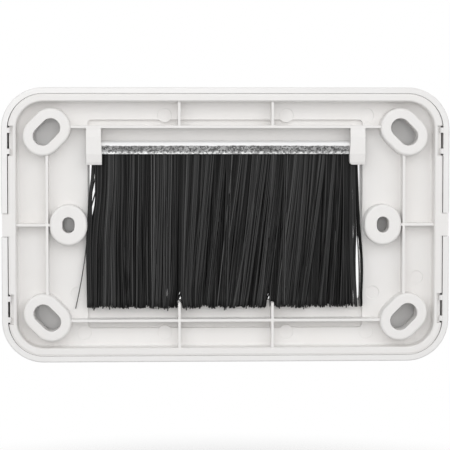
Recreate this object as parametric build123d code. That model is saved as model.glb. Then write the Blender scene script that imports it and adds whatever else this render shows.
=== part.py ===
# Media wall plate with a brush cable entry.
# A moulded base screws to the wall, a cover clips over it, and a strip brush hangs in the window.
# Millimetres. X runs across the plate, Z is up, y = 0 is the wall and the room is towards -Y.
# A depth is the distance from the wall plane towards the room.

from build123d import *
import math
import os
import random

# Outline of the plate, built outwards from the fixing screws and the window
fixing_centres = 84.0  # spacing of the two side screws, the standard that sets the scale
side_land = 5.0  # side screw to the edge of the window
side_margin = 17.75  # side screw to the end of the plate
window_height = 41.8
ledge_height = 7.15  # height of the recessed ledges above and below the window
end_margin = 8.61  # recess to the top or bottom edge of the plate
corner_radius = 11.2

# Clip-on cover
plate_depth = 10.5
cover_wall = 1.62
cover_front = 1.8
front_edge_radius = 3.2
rim_edge = 0.25  # chamfer along the rear edge of the rim
window_inset = 0.45  # the cover's window is this much smaller than the base's, all round
window_corner_radius = 1.0
window_edge = 0.35  # chamfer around the window on the room side
collar_width = 2.4  # raised frame behind the cover's window, which bears on the base
side_seam = 0.2  # gap between cover and base along the short sides
end_seam = 0.05  # the same along the long sides, where they nearly touch
seat_gap = 0.1  # between faces that bear on each other

# Clips, two on each short side
clip_spacing = 44.9
clip_height = 8.0
clip_depth = 1.2  # ledge of a clip, below the wall plane
clip_inset = 1.35  # how far the clip notch cuts into the ring
clip_relief = 0.28  # slot between the clip's ledge and the cover wall
lug_spacing = 5.6
lug_height = 1.4
lug_reach = 0.85
lug_chamfer = 0.35

# Prise-off notches at mid-height of both short sides
pry_height = 6.3
pry_depth = 3.2
pry_gap = 0.15
tab_thickness = 1.5
tab_inset = 0.2  # the tab stops this short of the cover's outer face

# Moulded base
ring_width = 2.1
ring_chamfer = 0.25
ring_inner_chamfer = 0.3
floor_depth = 5.0
floor_thickness = 1.6
root_radius = 0.7
recess_step = 1.0
recess_radius = 1.1

# Ribs on the back of the base
rib_thickness = 0.7
rib_setback = 0.9
rib_bond = 0.3  # how deep a rib or boss is rooted in the floor
long_rib_inset = 2.15  # long rib to the edge of the recess
long_rib_lift = 0.25  # both long ribs sit this much above the middle
short_rib_spacing = 24.95
short_rib_round = 0.8

# Screw bosses
boss_setback = 0.15
boss_round = 0.7
slot_mouth = 0.12  # chamfer around each screw slot
corner_boss_inset = 8.12  # inner face of the ring to the middle of a corner boss, both ways
corner_boss_width = 10.55
corner_slot_width = 5.05
corner_slot_run = 3.1  # travel of the screw in a corner slot
corner_sink_width = 8.1
side_boss_width = 9.9
side_slot_width = 3.25
side_slot_run = 1.0
side_sink_width = 7.6
sink_depth = 0.9  # head pocket on the room side

# Ejector marks
ejector_radius = 1.9
small_ejector_radius = 1.75
ejector_depth = 0.2
ejector_inset = 1.15  # centre of a mark outside the recess
ejector_spacing = 32.75
outer_ejector_lap = 1.05
small_ejector_rise = 2.3  # small marks above the window's lower edge
gutter_mark_x = 4.0  # one mark between an upright rib and the ring
gutter_mark_drop = 14.5

# Strip brush
channel_height = 3.53
channel_seat = 1.5  # the channel laps the ledge above the window by this much
channel_end_gap = 0.45
sheet = 0.5
bend_radius = 1.0
crimp_pitch = 1.73
crimp_width = 0.5
crimp_height = 0.4
crimp_depth = 0.14
crimp_rise = 0.55  # crimps above the channel's lower edge
crimp_slant = 28.0
wire_diameter = 0.9
wire_end_gap = 0.6

# Bristles, folded over the wire in nested layers
strand = 0.34
strand_gap = 0.12
fold_gap = 0.04
fold_layers = 2
bristle_end_gap = 1.1
bristle_lap = 1.55  # the tips hang this far past the window's lower edge
bristle_ragged = 0.55
rib_parting = 0.25  # clearance that the bristles keep from a rib's end
left_spread = 0.9  # how far the tips at the left end (seen from the wall) splay outwards
middle_lean = 2.6  # how far the tips right of the middle are combed to the left
middle_lean_place = -0.5  # as a share of the curtain's half length
middle_lean_width = 0.33
right_lean = 1.3  # the same, close to the right end
right_lean_place = -0.88
right_lean_width = 0.16
end_spread = 0.8  # the last bristles at the right end splay outwards by this much
end_spread_start = -0.9

# Hook arms that hold the brush
arm_width = 3.95
arm_thickness = 1.7
arm_overhang = 0.25  # the arm stands this far outside the end of the recess
arm_flare = 0.2  # the arm widens inwards by this much from the channel's top to its lower edge
arm_clearance = 0.1
arm_shoulder = 0.4  # the back of the arm stays level with the rib for this length
arm_rise = 2.75  # below the rib's middle, the back of the arm is at its full height
nose_drop = 2.85  # the nose hangs this far below the channel
nose_slope = 0.4
nose_edge = 0.7  # bevel along the nose's lower edge, towards the wall
nose_lead = 0.45
arm_corner_radius = 0.9  # lower inner corner of the arm at -X

# Derived sizes
window_width = fixing_centres - 2 * side_land
recess_width = window_width
recess_height = window_height + 2 * ledge_height
plate_width = fixing_centres + 2 * side_margin
plate_height = recess_height + 2 * end_margin
cover_back = plate_depth - cover_front
floor_front = floor_depth + floor_thickness
ledge_depth = floor_depth + recess_step
platform_front = floor_front + recess_step
root_depth = ledge_depth + rib_bond

base_inset = cover_wall + side_seam
base_width = plate_width - 2 * base_inset
base_height = plate_height - 2 * (cover_wall + end_seam)
base_radius = corner_radius - base_inset
pocket_width = base_width - 2 * ring_width
pocket_height = base_height - 2 * ring_width
pocket_radius = base_radius - ring_width

corner_boss_x = pocket_width / 2 - corner_boss_inset
corner_boss_z = pocket_height / 2 - corner_boss_inset
side_boss_x = fixing_centres / 2
long_rib_reach = recess_height / 2 - long_rib_inset

layer_step = strand + fold_gap
channel_inner = wire_diameter + 2 * (fold_gap + fold_layers * layer_step)
channel_depth = channel_inner + 2 * sheet
channel_length = recess_width - 2 * channel_end_gap
channel_top = window_height / 2 + channel_seat
channel_bottom = channel_top - channel_height
channel_middle = ledge_depth - seat_gap - channel_depth / 2
wire_z = channel_top - sheet - fold_gap - fold_layers * layer_step - wire_diameter / 2
arm_inner = channel_middle - channel_depth / 2 - arm_clearance
arm_outer = arm_inner - arm_thickness
bristle_tip = -window_height / 2 - bristle_lap
bristle_length = wire_z - bristle_tip


def slab(sketch, near, far):
    """Solid of a sketch in the plate's plane, between two depths."""
    return extrude(Plane.XZ.offset(near) * sketch, amount=far - near)


def block(x0, x1, z0, z1, near, far):
    """Rectangular block between two X, two Z and two depths."""
    return slab(Pos((x0 + x1) / 2, (z0 + z1) / 2) * Rectangle(abs(x1 - x0), abs(z1 - z0)), near, far)


def edges_at(solid, depth):
    """Edges that lie wholly at one depth."""
    return solid.edges().filter_by_position(Axis.Y, -depth - 0.001, -depth + 0.001)


def window_shape(inset):
    """Outline of the window, made smaller all round by an inset."""
    return RectangleRounded(window_width - 2 * inset, window_height - 2 * inset, window_corner_radius)


def clip_places():
    """Side and height of each of the four clips."""
    return [(side, end * clip_spacing / 2) for side in (-1, 1) for end in (-1, 1)]


def clip_lug(side, z):
    """One lug on the inside of the cover's wall, with a lead-in on its wall side."""
    wall = plate_width / 2 - cover_wall
    lug_back = clip_depth - seat_gap
    outline = Polyline(
        (wall + rim_edge, -seat_gap),
        (wall - lug_reach + lug_chamfer, -seat_gap),
        (wall - lug_reach, -seat_gap - lug_chamfer),
        (wall - lug_reach, -lug_back),
        (wall + rim_edge, -lug_back),
        close=True,
    )
    lug = extrude(make_face(outline), amount=lug_height)
    lug = Pos(0, 0, z - lug_height / 2) * lug
    return lug if side > 0 else mirror(lug, Plane.YZ)


def front_cover():
    shell = slab(RectangleRounded(plate_width, plate_height, corner_radius), 0, plate_depth)
    shell = fillet(edges_at(shell, plate_depth), front_edge_radius)
    shell = chamfer(edges_at(shell, 0), rim_edge)
    inner = RectangleRounded(
        plate_width - 2 * cover_wall, plate_height - 2 * cover_wall, corner_radius - cover_wall
    )
    cavity = slab(inner, 0, cover_back)
    inner_radius = max(front_edge_radius - cover_wall, rim_edge)
    shell -= fillet(edges_at(cavity, cover_back), inner_radius)
    collar = RectangleRounded(
        window_width - 2 * window_inset + 2 * collar_width,
        window_height - 2 * window_inset + 2 * collar_width,
        window_corner_radius + collar_width,
    )
    shell += slab(collar, platform_front + seat_gap, cover_back + seat_gap)
    shell -= slab(window_shape(window_inset), 0, plate_depth + 1)
    rim = [e for e in edges_at(shell, plate_depth) if abs(e.center().X) < window_width / 2
           and abs(e.center().Z) < window_height / 2]
    shell = chamfer(rim, window_edge)
    for side in (-1, 1):
        edge = side * plate_width / 2
        shell -= block(edge - side * base_inset, edge + side, -pry_height / 2,
                       pry_height / 2, -1, pry_depth)
    for side, z in clip_places():
        for lug_side in (-1, 1):
            shell += clip_lug(side, z + lug_side * lug_spacing / 2)
    return shell


def stadium(width, run):
    """Slot outline: its width, and how far it runs between the centres of its round ends."""
    return SlotCenterToCenter(run, width)


def boss(outer_width, slot_width, run):
    """Hollow screw boss around a slot, rounded outside and chamfered at the slot's mouth."""
    body = slab(stadium(outer_width, run), boss_setback, root_depth)
    body = fillet(edges_at(body, boss_setback), boss_round)
    body -= slab(stadium(slot_width, run), 0, root_depth + 1)
    mouth = [e for e in edges_at(body, boss_setback) if e.center().length < outer_width
             and max(abs(e.bounding_box().size.X), abs(e.bounding_box().size.Z)) <= slot_width + run]
    return chamfer(mouth, slot_mouth)


def corner_places():
    """Place and angle of each corner boss, its slot lying across the corner's diagonal."""
    return [
        Pos(x * corner_boss_x, 0, z * corner_boss_z) * Rot(0, x * z * 45, 0)
        for x in (-1, 1)
        for z in (-1, 1)
    ]


def side_places():
    """Place of each side boss, its slot upright."""
    return [Pos(side * side_boss_x, 0, 0) * Rot(0, 90, 0) for side in (-1, 1)]


def ring_and_floor():
    """Tray of the base: ring, floor and the raised platform around the window."""
    tray = slab(RectangleRounded(base_width, base_height, base_radius), 0, floor_front)
    tray = chamfer(edges_at(tray, 0), ring_chamfer)
    pocket = slab(RectangleRounded(pocket_width, pocket_height, pocket_radius), 0, floor_depth)
    tray -= fillet(edges_at(pocket, floor_depth), root_radius)
    inner_edge = [e for e in edges_at(tray, 0) if abs(e.center().X) < pocket_width / 2 + ring_inner_chamfer
                  and abs(e.center().Z) < pocket_height / 2 + ring_inner_chamfer]
    tray = chamfer(inner_edge, ring_inner_chamfer)
    platform = RectangleRounded(
        recess_width + 2 * floor_thickness, recess_height + 2 * floor_thickness,
        recess_radius + floor_thickness,
    )
    tray += slab(platform, floor_front - rib_bond, platform_front)
    recess = RectangleRounded(recess_width, recess_height, recess_radius)
    return tray - slab(recess, floor_depth - 1, ledge_depth)


def rib(x0, x1, z0, z1):
    return block(x0, x1, z0, z1, rib_setback, root_depth)


def rib_list():
    """Every rib: two long ones, two uprights, two at mid-height and four short ones."""
    half = rib_thickness / 2
    ring_x = pocket_width / 2 + ring_width / 2
    ring_z = pocket_height / 2 + ring_width / 2
    ribs = []
    for end in (-1, 1):
        z = long_rib_lift + end * long_rib_reach
        ribs.append(rib(-corner_boss_x, corner_boss_x, z - half, z + half))
    for side in (-1, 1):
        x = side * corner_boss_x
        ribs.append(rib(x - half, x + half, -corner_boss_z, corner_boss_z))
        ribs.append(rib(side * side_boss_x, side * ring_x, -half, half))
        x = side * short_rib_spacing / 2
        ribs.append(rib(x - half, x + half, long_rib_lift + long_rib_reach, ring_z))
        parting = rib(x - half, x + half, -ring_z, -window_height / 2)
        tip = edges_at(parting, rib_setback).filter_by_position(
            Axis.Z, -window_height / 2 - 0.001, -window_height / 2 + 0.001
        )
        ribs.append(fillet(tip, short_rib_round))
    return ribs


def ejector_marks():
    """Radius and centre of each round mark that an ejector pin left in the floor."""
    top = recess_height / 2 + ejector_inset
    inner = ejector_spacing / 2
    outer = recess_width / 2 + outer_ejector_lap
    marks = [(ejector_radius, x, top) for x in (-outer, -inner, inner)]
    marks += [(ejector_radius, x, -top) for x in (-outer, -inner, inner, outer)]
    beside = recess_width / 2 + small_ejector_radius + outer_ejector_lap
    low = small_ejector_rise - window_height / 2
    marks += [(small_ejector_radius, x, low) for x in (-beside, beside)]
    marks.append((small_ejector_radius, -corner_boss_x - gutter_mark_x, -gutter_mark_drop))
    return marks


def hook_arm(side):
    """Arm that reaches down from the upper long rib, over the brush, with a nose under it."""
    rib_z = long_rib_lift + long_rib_reach
    nose_top = channel_bottom - arm_clearance
    nose_bottom = channel_bottom - nose_drop
    nose_depth = arm_inner + sheet
    outline = Polyline(
        (-rib_setback, rib_z + rib_thickness / 2),
        (-rib_setback, rib_z - rib_thickness / 2 - arm_shoulder),
        (-arm_outer, rib_z - arm_rise),
        (-arm_outer, channel_bottom),
        (-arm_outer - nose_slope, nose_bottom + nose_edge),
        (-arm_outer - nose_slope - nose_edge / 2, nose_bottom),
        (-nose_depth + nose_lead, nose_bottom),
        (-nose_depth, nose_bottom + nose_lead),
        (-nose_depth, nose_top),
        (-arm_inner, nose_top),
        (-arm_inner, rib_z - rib_thickness / 2),
        (-ledge_depth, rib_z - rib_thickness / 2),
        (-ledge_depth, rib_z + rib_thickness / 2),
        close=True,
    )
    profile = extrude(Plane.YZ * make_face(outline), amount=arm_width + arm_flare)
    arm_top = rib_z + rib_thickness / 2
    face = make_face(Polyline(
        (0, arm_top), (0, nose_bottom), (arm_width + arm_flare, nose_bottom),
        (arm_width + arm_flare, channel_bottom), (arm_width, channel_top), (arm_width, arm_top),
        close=True,
    ))
    if side < 0:
        face = fillet(face.vertices().sort_by(Axis.Y)[:2].sort_by(Axis.X)[-1], arm_corner_radius)
    arm = Pos(-recess_width / 2 - arm_overhang, 0, 0) * (profile & slab(face, 0, ledge_depth))
    return arm if side < 0 else mirror(arm, Plane.YZ)


def base_plate():
    body = ring_and_floor()
    for part in rib_list():
        body += part
    corner = boss(corner_boss_width, corner_slot_width, corner_slot_run)
    upright = boss(side_boss_width, side_slot_width, side_slot_run)
    for place in corner_places():
        body += place * corner
    for place in side_places():
        body += place * upright
    for place in corner_places():
        body -= place * slab(stadium(corner_slot_width, corner_slot_run), 0, platform_front + 1)
        body -= place * slab(stadium(corner_sink_width, corner_slot_run), floor_front - sink_depth,
                             platform_front + 1)
    for place in side_places():
        body -= place * slab(stadium(side_slot_width, side_slot_run), 0, platform_front + 1)
        body -= place * slab(stadium(side_sink_width, side_slot_run), floor_front - sink_depth,
                             platform_front + 1)
    for radius, x, z in ejector_marks():
        body += slab(Pos(x, z) * Circle(radius), floor_depth + ejector_depth, root_depth)
        body -= slab(Pos(x, z) * Circle(radius), floor_depth - rib_bond, floor_depth + ejector_depth)
    body -= slab(window_shape(0), -1, platform_front + 1)
    for side, z in clip_places():
        edge = side * base_width / 2
        body -= block(edge - side * clip_inset, edge + side, z - clip_height / 2, z + clip_height / 2,
                      -1, clip_depth)
        body -= block(edge - side * clip_relief, edge + side, z - clip_height / 2, z + clip_height / 2,
                      -1, floor_front + 1)
    for side in (-1, 1):
        edge = side * (plate_width / 2 - tab_inset)
        body += block(edge, edge - side * (base_inset + ring_width / 2), -pry_height / 2 + pry_gap,
                      pry_height / 2 - pry_gap, 0, tab_thickness)
        body += hook_arm(side)
    return body


def channel_section(width, height, radius):
    """Inverted U outline with round shoulders, its foot on the channel's lower edge."""
    middle = Pos(-channel_middle, channel_bottom + height / 2)
    shape = middle * Rectangle(width, height)
    shoulders = shape.vertices().sort_by(Axis.Y)[-2:]
    return fillet(shoulders, radius)


def brush_channel():
    outer = channel_section(channel_depth, channel_height, bend_radius)
    inner = channel_section(channel_inner, channel_height - sheet, bend_radius - sheet)
    profile = Plane.YZ * (outer - inner)
    body = Pos(-channel_length / 2, 0, 0) * extrude(profile, amount=channel_length)
    count = int((channel_length - 2 * arm_width) / crimp_pitch)
    face = channel_middle - channel_depth / 2
    crimps = []
    for i in range(count):
        x = (i - (count - 1) / 2) * crimp_pitch
        dent = slab(Rectangle(crimp_width, crimp_height), face - 1, face + crimp_depth)
        crimps.append(Pos(x, 0, channel_bottom + crimp_rise) * Rot(0, crimp_slant, 0) * dent)
    return body - crimps


def core_wire():
    length = channel_length - 2 * wire_end_gap
    axis = Plane(origin=(-length / 2, -channel_middle, wire_z), x_dir=(0, 1, 0), z_dir=(1, 0, 0))
    return extrude(axis * Circle(wire_diameter / 2), amount=length)


def tip_shift(x):
    """How far along X a bristle's tip ends from its root: combed one way, splayed at both ends."""
    half = channel_length / 2 - bristle_end_gap
    along = x / half
    left = left_spread * max(along, 0) ** 2
    middle = middle_lean * math.exp(-((along - middle_lean_place) / middle_lean_width) ** 2)
    right = right_lean * math.exp(-((along - right_lean_place) / right_lean_width) ** 2)
    past = max(end_spread_start - along, 0) / (1 + end_spread_start)
    return left + middle + right - (end_spread + right_lean) * past


def hairpin(layer, back_length, front_length):
    """One folded bristle: two legs and the bend over the wire, in the plane across the channel."""
    inner = wire_diameter / 2 + fold_gap + layer * layer_step
    outer = inner + strand
    bend = [(outer, outer), (-outer, outer)]
    if layer == fold_layers - 1:
        bevel = bend_radius - sheet
        bend = [
            (outer, outer - bevel), (outer - bevel, outer), (bevel - outer, outer), (-outer, outer - bevel)
        ]
    outline = Polyline(
        (outer, -back_length),
        *bend,
        (-outer, -front_length),
        (-inner, -front_length),
        (-inner, inner),
        (inner, inner),
        (inner, -back_length),
        close=True,
    )
    return Pos(-strand / 2, 0, 0) * extrude(Plane.YZ * make_face(outline), amount=strand)


def bristles():
    """The curtain: one hairpin after another along the wire, in alternating layers."""
    chance = random.Random(7)
    span = channel_length - 2 * bristle_end_gap
    count = int(span / (strand + strand_gap))
    pitch = span / count
    rib_clear = rib_thickness / 2 + rib_parting + strand
    curtain = []
    for i in range(count):
        x = (i + 0.5) * pitch - span / 2
        shift = tip_shift(x)
        lengths = [bristle_length + bristle_ragged * chance.uniform(-1, 1) for leg in range(2)]
        if abs(abs(x + shift) - short_rib_spacing / 2) < rib_clear:
            lengths = [wire_z + window_height / 2 - rib_parting] * 2
        pin = hairpin(i % fold_layers, *lengths)
        lean = math.degrees(math.atan2(shift, bristle_length))
        curtain.append(Pos(x, -channel_middle, wire_z) * Rot(0, -lean, 0) * pin)
    return Compound(children=curtain)


def main():
    os.makedirs("parts", exist_ok=True)
    nodes = {
        "front_cover": front_cover(),
        "base_plate": base_plate(),
        "brush_channel": brush_channel(),
        "core_wire": core_wire(),
        "bristles": bristles(),
    }
    for name, shape in nodes.items():
        export_step(shape, f"parts/{name}.step")


main()
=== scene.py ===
# %% [markdown]
# # A media wall plate, seen from the wall side
#
# This is the back of a wall plate that lets cables pass through a brush. It has a white moulded base with
# ribs and screw bosses, the rim of a cover that clips over it, a folded steel channel held by two hook
# arms, and a curtain of black bristles. The solids come from a CAD model in metres and stay where they
# are. Blender gives them their finish, and it makes the curtain again, bristle by bristle.

# %% Load the frame
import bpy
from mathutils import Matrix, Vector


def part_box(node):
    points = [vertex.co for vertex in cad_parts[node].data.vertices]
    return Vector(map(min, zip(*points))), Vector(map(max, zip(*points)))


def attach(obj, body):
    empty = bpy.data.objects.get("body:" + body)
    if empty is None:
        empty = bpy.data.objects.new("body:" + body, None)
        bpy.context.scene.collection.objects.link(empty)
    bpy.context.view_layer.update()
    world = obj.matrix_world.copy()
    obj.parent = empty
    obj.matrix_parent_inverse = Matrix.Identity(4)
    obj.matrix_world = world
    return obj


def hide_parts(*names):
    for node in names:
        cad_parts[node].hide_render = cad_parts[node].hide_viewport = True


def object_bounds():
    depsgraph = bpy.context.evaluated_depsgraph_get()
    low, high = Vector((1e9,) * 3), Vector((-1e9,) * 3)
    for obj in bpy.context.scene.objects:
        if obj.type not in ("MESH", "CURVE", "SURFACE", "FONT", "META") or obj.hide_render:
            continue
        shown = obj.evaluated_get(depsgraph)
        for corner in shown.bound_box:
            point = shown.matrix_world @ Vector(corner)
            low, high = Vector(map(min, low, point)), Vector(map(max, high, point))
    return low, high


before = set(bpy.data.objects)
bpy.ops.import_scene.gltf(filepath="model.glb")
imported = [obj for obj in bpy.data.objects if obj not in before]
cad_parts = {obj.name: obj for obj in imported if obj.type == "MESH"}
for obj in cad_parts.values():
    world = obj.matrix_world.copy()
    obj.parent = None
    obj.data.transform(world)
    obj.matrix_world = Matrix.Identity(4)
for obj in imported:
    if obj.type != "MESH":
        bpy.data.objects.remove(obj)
cad_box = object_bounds()
print("CAD box:", *(round(value * 1000, 2) for corner in cad_box for value in corner), "mm")

# %% [markdown]
# ## Places that later steps need
#
# Anything that sits on a CAD part takes its place from that part's box, so it fits without measuring by
# eye. X runs across the plate, Z is up and the wall is on the +Y side, so a larger y is nearer to us.

# %% Boxes of the brush
import math

import bpy
import numpy as np
from mathutils import Vector

MM = 0.001


def middle(node):
    """Centre of a CAD node's box."""
    low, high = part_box(node)
    return (low + high) / 2


wire = middle("core_wire")
channel_low, channel_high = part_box("brush_channel")
print("wire at height", round(wire.z / MM, 2), "mm, depth", round(-wire.y / MM, 2), "mm")

# %% [markdown]
# ## The camera
#
# The photograph looks almost squarely at the back of the plate: the two long edges draw together very
# slightly towards the lower right corner, so the camera stood a little to the left and above. A long lens
# half a metre away gives that calm look. The two angles and the lens came from matching the four corners,
# the clips and the screw bosses with the photograph.

# %% Camera
PHOTO_SIDE = 450  # pixels
SENSOR = 36  # mm
LENS = 150  # mm
CAMERA_DISTANCE = 0.5  # m
CAMERA_AZIMUTH = math.radians(2.29)  # from the wall's normal towards the picture's left
CAMERA_RISE = math.radians(3.15)
AIM = Vector((0.33 * MM, 0, 0))  # point of the plate in the middle of the picture

lens = bpy.data.cameras.new("long_lens")
lens.sensor_width = SENSOR
lens.lens = LENS
lens.clip_start = 0.01
camera = bpy.data.objects.new("camera", lens)
level = math.cos(CAMERA_RISE)
line_of_sight = Vector((level * math.sin(CAMERA_AZIMUTH), level * math.cos(CAMERA_AZIMUTH),
                        math.sin(CAMERA_RISE)))
camera.location = AIM + CAMERA_DISTANCE * line_of_sight
camera.rotation_euler = line_of_sight.to_track_quat("Z", "Y").to_euler()
bpy.context.collection.objects.link(camera)
bpy.context.scene.camera = camera
bpy.context.scene.view_settings.view_transform = "Standard"
print("camera at", *(round(value / MM, 1) for value in camera.location), "mm")

# %% [markdown]
# ## From a pixel to a place
#
# A few small things, such as the stray bristle, are placed by where the photograph shows them. A pixel
# fixes only a line of sight, so its depth has to be given too. The function below follows that line to
# the plane at the given depth behind the wall side.

# %% Line of sight
def seen_at(column, row, depth=0.0):
    """Where the line of sight through a pixel meets the plane at some depth."""
    centre = (PHOTO_SIDE - 1) / 2
    pixel = SENSOR / PHOTO_SIDE
    ray = Vector(((column - centre) * pixel, (centre - row) * pixel, -LENS))
    ray.rotate(camera.rotation_euler)
    return camera.location - ray * (camera.location.y + depth) / ray.y


def photo_z(row, column=PHOTO_SIDE / 2, depth=0.0):
    """Height of what a pixel shows."""
    return seen_at(column, row, depth).z


print("the middle row is at height", round(photo_z(PHOTO_SIDE / 2) / MM, 2), "mm")

# %% [markdown]
# ## Arithmetic on sockets
#
# A material is a graph of nodes, and wiring each one by hand hides what it means. A Signal wraps one
# output socket. Arithmetic on it adds the Math nodes, so a mask can be written as 1 - wear * 0.5.

# %% Signals
class Signal:
    """One output socket, with arithmetic that adds Math nodes."""

    def __init__(self, graph, socket):
        self.graph = graph
        self.socket = socket

    def maths(self, operation, first, second=0.0):
        return self.graph.node("ShaderNodeMath", {"operation": operation}, {0: first, 1: second})

    def __add__(self, other):
        return self.maths("ADD", self, other)

    def __sub__(self, other):
        return self.maths("SUBTRACT", self, other)

    def __rsub__(self, other):
        return self.maths("SUBTRACT", other, self)

    def __mul__(self, other):
        return self.maths("MULTIPLY", self, other)

    def __gt__(self, other):
        return self.maths("GREATER_THAN", self, other)

    def __abs__(self):
        return self.maths("ABSOLUTE", self)

    __radd__ = __add__
    __rmul__ = __mul__


print("a Signal can be added, subtracted, multiplied and compared")

# %% [markdown]
# ## One method for every other node
#
# A Graph holds the nodes of one material. Its method node takes a node's type, its settings, and then the
# values or signals of its sockets. The few kinds that the finishes use again and again have short names
# of their own below it. Colours are mixed by blend, because a Math node would turn them grey.

# %% Graphs
class Graph:
    """The nodes of one material or world."""

    def __init__(self, owner):
        owner.use_nodes = True
        self.owner = owner
        self.tree = owner.node_tree
        self.tree.nodes.clear()

    def node(self, kind, settings=None, values=None, output=0):
        """Adds a node, sets it, fills or links its sockets, and returns one of its outputs."""
        made = self.tree.nodes.new(kind)
        for name, value in (settings or {}).items():
            setattr(made, name, value)
        for name, value in (values or {}).items():
            if isinstance(value, Signal):
                self.tree.links.new(value.socket, made.inputs[name])
            else:
                made.inputs[name].default_value = value
        return Signal(self, made.outputs[output]) if len(made.outputs) else made

    def blend(self, factor, first, second):
        """Mixes two colours."""
        names = {"Factor": factor, 6: first, 7: second}
        return self.node("ShaderNodeMix", {"data_type": "RGBA"}, names, output=2)

    def step(self, value, low, high):
        """Goes smoothly from 0 at low to 1 at high."""
        names = {"Value": value, "From Min": low, "From Max": high}
        return self.node("ShaderNodeMapRange", {"interpolation_type": "SMOOTHSTEP"}, names)

    def part_place(self):
        """A point of the surface in the part's own millimetres."""
        metres = self.node("ShaderNodeTexCoord", output="Object")
        names = {0: metres, "Scale": 1 / MM}
        return self.node("ShaderNodeVectorMath", {"operation": "SCALE"}, names)

    def axis(self, place, name):
        """One coordinate of a point, or one channel of a colour."""
        return self.node("ShaderNodeSeparateXYZ", values={0: place}, output=name)

    def noise(self, place, scale, detail=2.0):
        """Smooth noise around a half, finer with a larger scale."""
        names = {"Vector": place, "Scale": scale, "Detail": detail}
        return self.node("ShaderNodeTexNoise", values=names, output="Fac")


def grey(level, warmth=0.0):
    """A grey from 0 to 1, slightly yellow where warmth is above 0."""
    return (level * (1 + warmth), level, level * (1 - warmth), 1)


print("a warm white is", tuple(round(channel, 3) for channel in grey(0.85, 0.022)))

# %% [markdown]
# ## Light from all around
#
# The plate was photographed in a bright room, so light reaches it from everywhere, and the world gives
# that. The camera and the reflections see a white world, while the world's share of the light on the
# object is set apart from it, so that a white plastic doesn't wash out.

# %% World
FILL_LEVEL = 0.57


def seen_directly(graph):
    """1 for rays that show the background itself: camera, reflected and transmitted ones."""
    kinds = ("Is Camera Ray", "Is Glossy Ray", "Is Transmission Ray")
    camera_ray, glossy_ray, transmission_ray = (graph.node("ShaderNodeLightPath", output=k) for k in kinds)
    return camera_ray + glossy_ray + transmission_ray


def studio_world():
    world = bpy.data.worlds.new("studio")
    graph = Graph(world)
    fill = graph.node("ShaderNodeBackground", values={"Color": grey(1.0), "Strength": FILL_LEVEL})
    white = graph.node("ShaderNodeBackground", values={"Color": grey(1.0), "Strength": 1.0})
    both = graph.node("ShaderNodeMixShader", values={0: seen_directly(graph), 1: fill, 2: white})
    graph.node("ShaderNodeOutputWorld", values={"Surface": both})
    bpy.context.scene.world = world


studio_world()
print("world fills in at", FILL_LEVEL)

# %% [markdown]
# ## Studio lamps
#
# One wide soft light stood in front of the plate, a little above it: below each rib that crosses the
# picture there is a wide pale shadow, and above it almost none. A wide area lamp does that. A small lamp
# behind the camera reaches into the screw slots, which the other lights leave too dark. A twin of the wide
# lamp stands on the far side, so that the cover's face is as white there as the base is here.

# %% Lamps
LAMP_DISTANCE = 0.7  # m
KEY_TILT = math.radians(25)  # above the wall's normal
KEY_SIZE = (1.5, 0.5)  # m
KEY_POWER = 2.85  # W
FRONT_SIZE = (0.2, 0.2)  # m
FRONT_POWER = 0.46  # W


def lamp(name, direction, size, power):
    """A soft area lamp that points at the middle of the plate."""
    light = bpy.data.lights.new(name, "AREA")
    light.shape = "RECTANGLE"
    light.size, light.size_y = size
    light.energy = power
    made = bpy.data.objects.new(name, light)
    made.location = LAMP_DISTANCE * direction
    made.rotation_euler = direction.to_track_quat("Z", "Y").to_euler()
    bpy.context.collection.objects.link(made)


lamp("key_lamp", Vector((0, math.cos(KEY_TILT), math.sin(KEY_TILT))), KEY_SIZE, KEY_POWER)
lamp("front_lamp", line_of_sight, FRONT_SIZE, FRONT_POWER)
lamp("room_lamp", Vector((0, -math.cos(KEY_TILT), math.sin(KEY_TILT))), KEY_SIZE, KEY_POWER)
print("key and room lamp", KEY_POWER, "W each, front lamp", FRONT_POWER, "W")

# %% [markdown]
# ## The floor
#
# A plate like this hangs on a wall, so it has no floor of its own. A pale one lies a little below it and
# catches its soft shadow close to the photograph's lower edge. Further out it fades into the same white
# as the world, so that no horizon shows.

# %% Floor
FLOOR_DROP = 0.08  # m below the plate's middle
FLOOR_HALF = 1.5  # m
FLOOR_FADE = (0.12, 0.17)  # m from the plate's middle, over which it fades to white
FLOOR_TONE = 0.94  # as the camera sees it
FLOOR_BOUNCE = 0.5  # in the light that it throws back at the plate


def pale_floor():
    mesh = bpy.data.meshes.new("floor")
    square = ((-1, -1), (1, -1), (1, 1), (-1, 1))
    corners = [(x * FLOOR_HALF, y * FLOOR_HALF, -FLOOR_DROP) for x, y in square]
    mesh.from_pydata(corners, [], [(0, 1, 2, 3)])
    floor = bpy.data.objects.new("floor", mesh)
    bpy.context.collection.objects.link(floor)
    graph = Graph(bpy.data.materials.new("pale_floor"))
    tone = graph.blend(seen_directly(graph), grey(FLOOR_BOUNCE), grey(FLOOR_TONE))
    lit = graph.node("ShaderNodeBsdfPrincipled", values={"Base Color": tone, "Roughness": 0.9})
    white = graph.node("ShaderNodeEmission", values={"Color": grey(1.0), "Strength": 1.0})
    reach = graph.node("ShaderNodeVectorMath", {"operation": "LENGTH"}, {0: graph.part_place()}, "Value")
    far = graph.step(reach, FLOOR_FADE[0] / MM, FLOOR_FADE[1] / MM) * seen_directly(graph)
    surface = graph.node("ShaderNodeMixShader", values={0: far, 1: lit, 2: white})
    graph.node("ShaderNodeOutputMaterial", values={"Surface": surface})
    mesh.materials.append(graph.owner)


pale_floor()
print("floor at", -FLOOR_DROP / MM, "mm")

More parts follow.
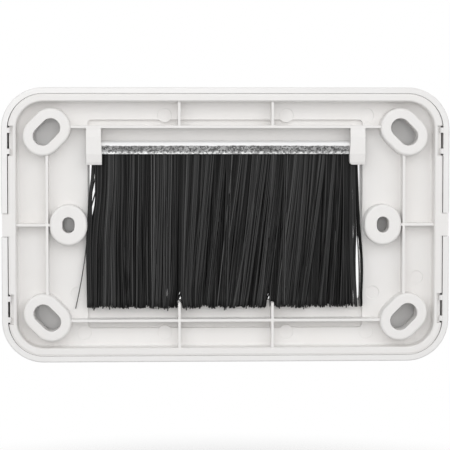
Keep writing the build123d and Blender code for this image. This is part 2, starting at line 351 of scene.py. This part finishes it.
# %% [markdown]
# ## Moulded plastic
#
# The base and the cover are white thermoplastic. The base is satin: its tool was only roughly polished,
# so faint flow clouds and a very fine grain show. The cover is the visible part of the product and is
# glossier. A perfect edge never catches light, so a Bevel node rounds each edge by a fraction of a
# millimetre in the shading alone.

# %% Plastic
EDGE_ROUND = 0.12 * MM
CLOUD_SCALE = 0.09  # flow clouds to a millimetre
CLOUD_TONE = 0.02
CLOUD_GLOSS = 0.12
GRAIN_SCALE = 5.0  # grains to a millimetre


def moulded_plastic(name, level, warmth, roughness, grain, marks=None):
    """White plastic with flow clouds, grain of some height in mm and softly rounded edges."""
    graph = Graph(bpy.data.materials.new(name))
    place = graph.part_place()
    clouds = graph.noise(place, CLOUD_SCALE)
    tone = graph.blend(clouds, grey(level - CLOUD_TONE, warmth), grey(level + CLOUD_TONE, warmth / 2))
    edges = graph.node("ShaderNodeBevel", {"samples": 6}, {"Radius": EDGE_ROUND})
    height = graph.noise(place, GRAIN_SCALE) * grain
    if marks:
        height = height + marks(graph, place)
    bump = {"Strength": 1.0, "Distance": MM, "Height": height, "Normal": edges}
    surface = graph.node("ShaderNodeBsdfPrincipled", values={
        "Base Color": tone,
        "Roughness": roughness + (clouds - 0.5) * CLOUD_GLOSS,
        "Normal": graph.node("ShaderNodeBump", values=bump),
        "Specular IOR Level": 0.4,
    })
    graph.node("ShaderNodeOutputMaterial", values={"Surface": surface})
    return graph.owner


def dress(node, material):
    """Gives every slot of a CAD node one material."""
    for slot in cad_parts[node].material_slots:
        slot.material = material


dress("base_plate", moulded_plastic("satin_moulding", level=0.85, warmth=0.022, roughness=0.46, grain=0.004))
print("base dressed")

# %% [markdown]
# ## Marks of the mould on the cover
#
# The cover's short sides were shaped by slides that close against the rest of the mould. Where two of them
# met, a hair-thin step is left across the rim. The photograph shows three such lines at the right. They
# are too shallow for geometry, so they are added to the grain's height before it goes into the Bump.

# %% Cover
SLIDE_COLUMN = 445  # pixel column of the rim
SLIDE_ROWS = (159.8, 258.7, 327)  # pixel rows where slides met
SLIDE_LINE = (0.04, 0.16)  # mm from the middle of a line, between which it fades
SLIDE_STEP = 0.03  # mm
SLIDE_REACH = 1.6  # mm from the cover's short sides


def mould_lines(graph, place):
    """Height in mm of the steps that the slides left."""
    height = graph.axis(place, "Z")
    heights = [photo_z(row, SLIDE_COLUMN) / MM for row in SLIDE_ROWS]
    upper, centre, lower = (1 - graph.step(abs(height - line), *SLIDE_LINE) for line in heights)
    side = abs(graph.axis(place, "X")) > cad_box[1].x / MM - SLIDE_REACH
    return (upper + centre + lower) * side * SLIDE_STEP


gloss = moulded_plastic("gloss_moulding", level=0.86, warmth=0.014, roughness=0.24, grain=0.0015,
                        marks=mould_lines)
dress("front_cover", gloss)
print("cover dressed, with", len(SLIDE_ROWS), "mould lines")

# %% [markdown]
# ## Galvanised steel
#
# The channel is folded from zinc-coated sheet. Zinc freezes into crystals, and each crystal mirrors the
# room in its own way, which gives the mottled spangle of the flat leg. The bend above it gets a smooth,
# near-white tone, a painted highlight where its round shoulder faces the lamp above, and the lower edge
# between the crimps gets a lighter tone with painted glints. So the finish changes with the height on the
# sheet: a mask for each band, with an edge that wanders a little, mixes one finish over another.

# %% Bands of the channel
BEND_BAND = 1.3  # mm of the bend that gets the painted highlight
LIP_BAND = 0.72  # mm along the lower edge that get a lighter painted highlight with glints
BAND_WANDER = 0.5  # mm
WANDER_SCALE = 0.7
BAND_BLUR = 0.1  # mm


def zinc_bands(graph, place):
    """Masks of the bend and of the lip, the bands that get painted highlights."""
    wander = (graph.noise(place, WANDER_SCALE) - 0.5) * BAND_WANDER
    height = graph.axis(place, "Z") + wander
    bend_edge = channel_high.z / MM - BEND_BAND
    lip_edge = channel_low.z / MM + LIP_BAND
    bend = graph.step(height, bend_edge - BAND_BLUR, bend_edge + BAND_BLUR)
    lip = 1 - graph.step(height, lip_edge - 2 * BAND_BLUR, lip_edge + BAND_BLUR)
    return bend, lip


print("bend from height", round(channel_high.z / MM - BEND_BAND, 2), "mm up")

# %% [markdown]
# The spangle is a cell pattern: each cell stands for one crystal. Noise bends the cells out of their
# straight edges, and finer noise adds the dust that dulls new zinc. Broad patches make some stretches of
# the leg darker than others.

# %% Crystals
CRYSTAL_SCALE = 2.4  # crystals to a millimetre
WARP_SCALE = 1.1
DUST_SCALE = 3.5


def zinc_crystals(graph, place):
    """Tone of each crystal, and fine dust over all of them."""
    warp = graph.node("ShaderNodeTexNoise", values={"Vector": place, "Scale": WARP_SCALE}, output="Color")
    moved = graph.node("ShaderNodeVectorMath", {"operation": "ADD"}, {0: place, 1: warp})
    cell = {"Vector": moved, "Scale": CRYSTAL_SCALE}
    cells = graph.node("ShaderNodeTexVoronoi", values=cell, output="Color")
    return graph.axis(cells, "X"), graph.noise(place, DUST_SCALE, 3.0)


print("crystals of about", round(1 / CRYSTAL_SCALE, 1), "mm")

# %% [markdown]
# One material holds the three bands. Each is a blend of two greys, and the masks lay the lip and then the
# bend over the leg. The floors of the crimps lie a little behind the leg's face, and they get a painted
# shade. The bend's painted highlight is mostly matte white, so the bend is only partly metal.

# %% Zinc
CRYSTAL_SHARE = 0.45  # of the spangle, the rest is dust
SPANGLE_STEP = (0.3, 0.72)  # from the dark crystals to the bright ones
PATCH_SCALE = 0.11
PATCH_STEP = (0.38, 0.62)
LEG_TONES = (grey(0.04), grey(0.27))
# The lip is lighter than the leg: a painted highlight, with painted glints.
LIP_HIGHLIGHT_TONES = (grey(0.2), grey(0.42))
# The bend's near-white tones are a painted highlight.
BEND_HIGHLIGHT_TONES = (grey(0.76), grey(0.84))
# The crimp floors get a painted shade.
CRIMP_SHADE_TONE = grey(0.12)
CRIMP_FLOOR = 0.06  # mm behind the face of the leg
LIP_GLINT_SCALE = 1.6
LIP_GLINT_STEP = (0.35, 0.6)
BEND_MATTE_SHARE = 0.75  # how much of the bend's painted highlight is matte white, not metal
ZINC_ROUGHNESS = 0.3
UNEVEN_ROUGHNESS = 0.2  # added by the crystals, and all over the bend


def spangled_zinc():
    graph = Graph(bpy.data.materials.new("spangled_zinc"))
    place = graph.part_place()
    bend, lip = zinc_bands(graph, place)
    crystal, dust = zinc_crystals(graph, place)
    spangle = graph.step(crystal * CRYSTAL_SHARE + dust * (1 - CRYSTAL_SHARE), *SPANGLE_STEP)
    patches = graph.step(graph.noise(place, PATCH_SCALE), *PATCH_STEP)
    # Painted glints along the lip, in a lighter painted highlight.
    lip_glints = graph.step(graph.noise(place, LIP_GLINT_SCALE, 1.0), *LIP_GLINT_STEP)
    leg_tone = graph.blend(spangle * (0.5 + patches * 0.5), *LEG_TONES)
    lip_tone = graph.blend(lip_glints, *LIP_HIGHLIGHT_TONES)
    # The bend's near-white tone is a painted highlight.
    sheet = graph.blend(bend, graph.blend(lip, leg_tone, lip_tone), graph.blend(dust, *BEND_HIGHLIGHT_TONES))
    # Painted shade on the floors of the crimps.
    crimp_shade = (channel_high.y / MM - graph.axis(place, "Y") > CRIMP_FLOOR) * (1 - bend)
    rounds = graph.node("ShaderNodeBevel", {"samples": 4}, {"Radius": 0.08 * MM})
    bump = {"Strength": 0.6, "Distance": 0.02 * MM, "Height": spangle, "Normal": rounds}
    uneven = crystal * UNEVEN_ROUGHNESS * (1 - bend) + bend * UNEVEN_ROUGHNESS
    surface = graph.node("ShaderNodeBsdfPrincipled", values={
        "Base Color": graph.blend(crimp_shade, sheet, CRIMP_SHADE_TONE),
        "Metallic": 1 - bend * BEND_MATTE_SHARE,
        "Roughness": ZINC_ROUGHNESS + uneven,
        "Normal": graph.node("ShaderNodeBump", values=bump),
    })
    graph.node("ShaderNodeOutputMaterial", values={"Surface": surface})
    return graph.owner


dress("brush_channel", spangled_zinc())
print("channel dressed")

# %% [markdown]
# ## The core wire
#
# The wire that the bristles are folded over is drawn through a die, which leaves fine lines along it.
# Noise that is stretched along X draws them. Little of the wire ever shows, but it has its finish too.

# %% Drawn wire
DIE_LINES = (0.1, 12, 12)  # noise to a millimetre, along the wire and around it
WIRE_TONES = (grey(0.36), grey(0.55))


def drawn_wire():
    graph = Graph(bpy.data.materials.new("drawn_wire"))
    place = {0: graph.part_place(), 1: DIE_LINES}
    lines = graph.noise(graph.node("ShaderNodeVectorMath", {"operation": "MULTIPLY"}, place), 1.0)
    surface = graph.node("ShaderNodeBsdfPrincipled", values={
        "Base Color": graph.blend(lines, *WIRE_TONES),
        "Metallic": 1.0,
        "Roughness": 0.3 + lines * 0.15,
    })
    graph.node("ShaderNodeOutputMaterial", values={"Surface": surface})
    return graph.owner


dress("core_wire", drawn_wire())
print("wire dressed")

# %% [markdown]
# ## Black nylon
#
# The bristles are extruded nylon, dyed through. What shows is mostly gloss: each one carries a thin
# highlight, and the gaps between them are nearly black. Every bristle also has its own tone, stored in the
# mesh as a number on its points: partly the small differences in dye that real ones have, and partly
# painted sheen, which a few carry strongly.

# %% Nylon finish
NYLON_TONES = (grey(0.003), grey(0.12))


def black_filament():
    graph = Graph(bpy.data.materials.new("black_filament"))
    tone = graph.node("ShaderNodeAttribute", {"attribute_name": "tone"}, output="Fac")
    surface = graph.node("ShaderNodeBsdfPrincipled", values={
        "Base Color": graph.blend(tone, *NYLON_TONES),
        "Roughness": 0.55 - tone * 0.2,
        "Specular IOR Level": 0.2,
    })
    graph.node("ShaderNodeOutputMaterial", values={"Surface": surface})
    return graph.owner


nylon = black_filament()
print("nylon ready")

# %% [markdown]
# ## How the curtain is laid out
#
# A strip brush is made by folding bristles over a wire and crimping a channel around them. Each bristle
# is therefore a hairpin: one leg towards the wall, one towards the room, and a bend over the wire. Here
# they stand side by side in three nested rows. The legs then bunch into tufts that lean and wave together,
# which is what makes the soft vertical bands in the photograph. All chance comes from one seeded source,
# so that every run gives the same brush.

# %% Rows and tufts
STRAND = 0.3 * MM
ROWS = 3
ROW_STEP = 0.24 * MM
SPACING = 0.28 * MM
ROOT_SCATTER = 0.1  # of the spacing
CURTAIN_LEFT = 35.5 * MM
CURTAIN_RIGHT = -35.3 * MM
TUFT_WIDTH = (0.7 * MM, 2.0 * MM)

chance = np.random.default_rng(7)


def roots():
    """Where each hairpin sits: its place along the wire and its row."""
    places = []
    for row in range(ROWS):
        count = int((CURTAIN_LEFT - CURTAIN_RIGHT) / SPACING)
        even = np.linspace(CURTAIN_RIGHT, CURTAIN_LEFT, count)
        across = even + chance.normal(0, ROOT_SCATTER * SPACING, count)
        places += [(x, row) for x in across + row * SPACING / ROWS]
    return np.array(places)


def tufts():
    """Edges of the tufts along the wire."""
    edges = [CURTAIN_RIGHT - MM]
    while edges[-1] < CURTAIN_LEFT + MM:
        edges.append(edges[-1] + chance.uniform(*TUFT_WIDTH))
    return np.array(edges)


pins = roots()
print(len(pins), "hairpins")

# %% [markdown]
# ## Sweep
#
# The curtain isn't straight. In the photograph it bows out past the channel at the left, and it fans out
# a little at the right end. From a little left of the middle to the right end the legs on the wall side
# were swept to the left. A smooth ramp along the wire says how much of the sweep a root takes part in.

# %% Sweep and spread
LEFT_SPREAD = 1.75 * MM
RIGHT_SPREAD = 1.5 * MM
SWEEP = 4.6 * MM  # sideways travel of a swept tip
SWEEP_STARTS = (14 * MM, 4 * MM)  # along the wire, from none to all of it
SWEEP_ENDS = (-27 * MM, -34.5 * MM)


def ramp(value, start, end):
    """Goes smoothly from 0 at start to 1 at end."""
    share = np.clip((value - start) / (end - start), 0, 1)
    return share * share * (3 - 2 * share)


def swept(x):
    """How much of the sweep a root takes part in."""
    return ramp(x, *SWEEP_STARTS) * (1 - ramp(x, *SWEEP_ENDS))


print(round(float(swept(pins[:, 0]).mean()), 2), "of the curtain is swept")

# %% [markdown]
# ## Partings and slits
#
# Where a moulded rib stands at the tips the bristles part around it, and a few narrow slits let the white
# behind show through. Each opening is given by where it starts and ends in the photograph. One that ends
# above the tips closes again, and one that ends below them stays open. Points near it are pushed aside,
# less and less with their distance from it.

# %% Slits
CURTAIN_DEPTH = 3 * MM
TIPS_ROW = 306  # pixel row of the tips
tip_height = photo_z(TIPS_ROW, depth=CURTAIN_DEPTH)


def slit(column, row, end_column, end_row, half):
    """Ends of an opening, from pixels, and how far its strands' middles move, from half its width in mm."""
    start = seen_at(column, row, CURTAIN_DEPTH)
    end = seen_at(end_column, end_row, CURTAIN_DEPTH)
    return start.x, start.z, end.x, end.z, half * MM + STRAND / 2


SLITS = {
    "left_edge": slit(94.2, 172, 91.6, 222, 0.3),
    "hairline": slit(167.0, 287, 167.3, 299, 0.03),
    "left_rib": slit(178.8, 286, 179.2, 309, 0.8),
    "right_rib": slit(267.6, 283, 268.2, 309, 0.42),
    "inner_fan": slit(353.0, 230, 354.4, 280, 0.05),
    "middle_fan": slit(356.4, 234, 358.6, 294, 0.28),
    "outer_fan": slit(359.6, 226, 360.3, 290, 0.08),
}
SLIT_REACH = 4  # half widths over which the push fades


def part_curtain(x, z):
    """Pushes points sideways out of every slit."""
    for start_x, start_z, end_x, end_z, half in SLITS.values():
        depth = np.clip((start_z - z) / (start_z - end_z), 0, 1)
        place = start_x + (end_x - start_x) * depth
        open_by = np.sin(depth * math.pi) if end_z > tip_height else depth
        side = np.where(x >= place, 1, -1)
        x = x + side * half * open_by * np.exp(-np.abs(x - place) / (SLIT_REACH * half))
    return x


print(len(SLITS), "slits, tips at about", round(tip_height / MM, 2), "mm")

# %% [markdown]
# ## Habits of a tuft
#
# What a whole tuft does is drawn once and looked up for every leg in it: its sweep, its lean, how much it
# bunches, its sway, how far it stands out and how long it is. A few tufts hardly follow the sweep, so that
# they cross their neighbours. The legs on the room side lie calmer, which closes the curtain from behind.

# %% Tufts
ROOM_SHARE = 0.35  # of the sweep, on the room side
ROOM_LOOSE = 0.15  # how far tufts on the room side go their own way, next to those on the wall side
SWEEP_SPREAD = 0.16
CROSSING_SHARE = 0.1  # of the tufts on the wall side, which hardly follow the sweep
CROSSING_SWEEP = 0.3
TUFT_LEAN = 0.3 * MM
TUFT_SQUEEZE = 0.2
TUFT_SWAY = 0.2 * MM
TUFT_FORWARD = 0.3 * MM
TUFT_LENGTH = 0.4  # of the raggedness of the tips


def tuft_habits(count, wall_side):
    """What each tuft on one side of the wire does."""
    loose = 1 if wall_side else ROOM_LOOSE
    sweep = chance.normal(1, SWEEP_SPREAD * loose, count)
    sweep[chance.random(count) < CROSSING_SHARE * wall_side] = CROSSING_SWEEP
    return {
        "sweep": sweep * SWEEP * (1 if wall_side else ROOM_SHARE),
        "lean": chance.normal(0, TUFT_LEAN * loose, count),
        "squeeze": chance.uniform(0, TUFT_SQUEEZE * loose, count),
        "sway": chance.uniform(0, TUFT_SWAY * loose, count),
        "phase": chance.uniform(0, 2 * math.pi, count),
        "forward": chance.uniform(-TUFT_FORWARD, TUFT_FORWARD, count),
        "length": chance.uniform(-TUFT_LENGTH, TUFT_LENGTH, count),
    }


print("tufts are", TUFT_WIDTH[0] / MM, "to", TUFT_WIDTH[1] / MM, "mm wide")

# %% [markdown]
# ## Legs
#
# A leg is a line of points from the bend to the tip. Each leg adds a little lean, depth and length of its
# own to what its tuft does, and a few tips are longer, because the trimming knife missed them. At the left
# end the legs hang side by side. The points lie closer near the tips, where the partings are.

# %% Legs
CHANNEL_MOUTH = 0.04  # share of a leg that the channel hides
SHARES = np.array([0, CHANNEL_MOUTH, 0.1, 0.19, 0.28, 0.37, 0.46, 0.55, 0.63, 0.71,
                   0.78, 0.84, 0.89, 0.93, 0.965, 1])
WIRE_RADIUS = 0.45 * MM
CLEARANCE = 0.01 * MM
LEG_LEAN = 0.42 * MM
LEG_DEPTH = 0.09 * MM
LEG_LENGTH = 0.8  # of the raggedness of the tips
TIP_RAGGED = 0.55 * MM
LONG_TIP = 0.75 * MM
LONG_SHARE = 0.015  # of the legs
EDGE_CALM = 2 * MM  # at the left end of the wire
STAND_OFF = 0.12 * MM  # of the tips from the channel's faces
SWAY_WAVE = 5  # radians along a leg
BOW_RANGE = (0.05, 0.65)  # of the free leg, over which it bows out
SWEEP_CURVE = 1.1  # above 1, a leg turns aside more towards its tip
LEAN_CURVE = 1.3


def channel_radius(row):
    """Distance from the wire's axis to a row of bristles."""
    return WIRE_RADIUS + STRAND / 2 + CLEARANCE + ROW_STEP * row


def leg(x, row, wall_side, edges):
    """Points of every leg on one side of the wire, from the bend down to the tip."""
    count = len(x)
    side = 1 if wall_side else -1
    loose = 1 if wall_side else ROOM_LOOSE
    tuft = np.searchsorted(edges, x)
    centres = np.concatenate([edges[:1], (edges[1:] + edges[:-1]) / 2, edges[-1:]])
    habit = {name: drawn[tuft] for name, drawn in tuft_habits(len(edges) + 1, wall_side).items()}
    own_lean = chance.normal(0, LEG_LEAN * loose, count)
    own_depth = chance.normal(0, LEG_DEPTH, count)
    tip = tip_height + TIP_RAGGED * (habit["length"] + chance.uniform(-LEG_LENGTH, LEG_LENGTH, count))
    tip = tip - LONG_TIP * (chance.random(count) < LONG_SHARE)
    calm = 1 - ramp(x, CURTAIN_LEFT - EDGE_CALM, CURTAIN_LEFT - EDGE_CALM / 2)
    bow = LEFT_SPREAD * np.clip(x / channel_high.x, 0, 1) ** 3
    splay = RIGHT_SPREAD * ramp(x, SWEEP_ENDS[1] + MM, CURTAIN_RIGHT)
    points = np.empty((count, len(SHARES), 3))
    for i, share in enumerate(SHARES):
        free = max(share - CHANNEL_MOUTH, 0) / (1 - CHANNEL_MOUTH)
        across = x + habit["sweep"] * swept(x) * free ** SWEEP_CURVE
        across = across + bow * ramp(free, *BOW_RANGE) - splay * free
        across = across + (habit["lean"] + own_lean) * calm * free ** LEAN_CURVE
        across = across + (centres[tuft] - x) * habit["squeeze"] * free
        across = across + habit["sway"] * np.sin(habit["phase"] + free * SWAY_WAVE) * free
        out = channel_radius(row) + (habit["forward"] * side + own_depth + STAND_OFF) * free
        z = wire.z + (tip - wire.z) * share
        points[:, i] = np.stack([part_curtain(across, z), wire.y + side * out, z], axis=-1)
    return points, tuft


print("rows at", *(round(channel_radius(row) / MM, 2) for row in range(ROWS)), "mm from the wire's axis")

# %% [markdown]
# ## From lines to tubes
#
# A Blender curve object could give each bristle its thickness, but over seven hundred hairpins are quicker
# as a few meshes that numpy fills in. Around every point of a line stands a ring of five corners, square to
# the line, and four-sided faces join each ring to the next.

# %% Tubes
SIDES = 5


def tubes(name, lines, radius, tone):
    """One mesh with a closed tube along every line."""
    count, rings, _ = lines.shape
    along = np.gradient(lines, axis=1)
    along /= np.linalg.norm(along, axis=2, keepdims=True)
    across = np.array([1.0, 0, 0]) - along[:, :, :1] * along
    across /= np.linalg.norm(across, axis=2, keepdims=True)
    up = np.cross(along, across)
    turn = np.arange(SIDES) * 2 * math.pi / SIDES
    ring = across[:, :, None, :] * np.cos(turn)[:, None] + up[:, :, None, :] * np.sin(turn)[:, None]
    corners = (lines[:, :, None, :] + ring * radius).reshape(-1, 3)
    first = np.arange(count)[:, None, None] * rings * SIDES
    lower_ring = first + np.arange(rings - 1)[:, None] * SIDES
    here = lower_ring + np.arange(SIDES)
    there = lower_ring + (np.arange(SIDES) + 1) % SIDES
    walls = np.stack([here, there, there + SIDES, here + SIDES], axis=-1).reshape(-1, 4)
    start = (first[:, 0] + np.arange(SIDES)[::-1]).tolist()
    end = (first[:, 0] + (rings - 1) * SIDES + np.arange(SIDES)).tolist()
    mesh = bpy.data.meshes.new(name)
    mesh.from_pydata(corners.tolist(), [], walls.tolist() + start + end)
    mesh.polygons.foreach_set("use_smooth", [True] * len(walls) + [False] * 2 * count)
    tones = mesh.attributes.new("tone", "FLOAT", "POINT")
    tones.data.foreach_set("value", np.repeat(tone, SIDES))
    mesh.validate()
    mesh.materials.append(nylon)
    piece = bpy.data.objects.new(name, mesh)
    bpy.context.collection.objects.link(piece)
    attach(piece, "root")
    print(name, len(walls) * 2 + count * 2 * (SIDES - 2), "triangles")
    return piece


# %% [markdown]
# ## Hairpins
#
# Each hairpin joins its two legs by a bend of three points over the wire. Its tone is that of its tuft
# plus some of its own, partly dye and partly painted sheen, and a few get a lighter tone as a painted
# highlight.

# %% Hairpins
TUFT_TONE = (0.07, 0.25)
OWN_TONE = (-0.28, 0.26)
STRAND_GLINT_SHARE = 0.14  # of the hairpins, which get a painted highlight in their tone
STRAND_GLINT = 0.4
BEND_DEGREES = (45, 90, 135)


def bends(x, row):
    """Points of every hairpin's bend, from the wall side to the room side."""
    radius = channel_radius(row)
    points = np.empty((len(x), len(BEND_DEGREES), 3))
    for i, degrees in enumerate(BEND_DEGREES):
        angle = math.radians(degrees)
        y = wire.y + radius * math.cos(angle)
        z = wire.z + radius * math.sin(angle)
        points[:, i] = np.stack([x, y, z], axis=-1)
    return points


def hairpins():
    """Lines and tones of all the hairpins."""
    x, row = pins[:, 0], pins[:, 1]
    wall_legs, wall_tuft = leg(x, row, True, tufts())
    room_legs, room_tuft = leg(x, row, False, tufts())
    lines = np.concatenate([wall_legs[:, ::-1], bends(x, row), room_legs], axis=1)
    tuft_tone = chance.uniform(*TUFT_TONE, max(wall_tuft.max(), room_tuft.max()) + 1)
    own = chance.uniform(*OWN_TONE, len(x))
    # A few hairpins get a painted highlight: a lighter tone.
    own[chance.random(len(x)) < STRAND_GLINT_SHARE] += STRAND_GLINT
    tone = np.empty(lines.shape[:2])
    tone[:, :len(SHARES)] = (tuft_tone[wall_tuft] + own)[:, None]
    tone[:, len(SHARES):] = (tuft_tone[room_tuft] + own)[:, None]
    return lines, np.clip(tone, 0, 1)


print("a hairpin has", 2 * len(SHARES) + len(BEND_DEGREES), "points")

# %% [markdown]
# ## Hanging the curtain
#
# The brush is made as three pieces side by side, which keeps each mesh to a size that is easy to handle.
# All three stand for the one node of plain bristles in the CAD model, which they hide. At the right end
# some hairpins are left out, because the curtain thins out there.

# %% The brush
THIN_END = 1.3 * MM
THINNED = 0.4  # share of the hairpins that is left out there


def brush():
    lines, tone = hairpins()
    x = pins[:, 0]
    missing = (x < CURTAIN_RIGHT + THIN_END) & (chance.random(len(x)) < THINNED)
    half_third = (CURTAIN_LEFT - CURTAIN_RIGHT) / 6
    thirds = {
        "bristles_left": x >= half_third,
        "bristles_middle": abs(x) < half_third,
        "bristles_right": x <= -half_third,
    }
    for name, chosen in thirds.items():
        kept = chosen & ~missing
        piece = tubes(name, lines[kept], STRAND / 2, tone[kept])
        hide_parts("bristles")


brush()

# %% [markdown]
# ## One stray bristle
#
# At the left a single bristle has escaped the curtain and crosses the base. It starts among its neighbours
# and bends away. A quadratic curve does that: it runs from one point of the photograph to another, and a
# third point between them draws it aside.

# %% Stray bristle
STRAY_RINGS = 14
STRAY_START = seen_at(86.6, 236, 3.6 * MM)
STRAY_BEND = seen_at(84.2, 268, 3.5 * MM)
STRAY_TIP = seen_at(75.2, 308, 4.4 * MM)


def stray():
    share = np.linspace(0, 1, STRAY_RINGS)[:, None]
    start, bend, tip = np.array([STRAY_START, STRAY_BEND, STRAY_TIP])
    line = start * (1 - share) ** 2 + 2 * bend * share * (1 - share) + tip * share ** 2
    # The stray gets the lightest tone, as light as the strands with a painted highlight.
    tubes("stray_bristle", line[None], STRAND / 2, np.full((1, STRAY_RINGS), 1.0))


stray()
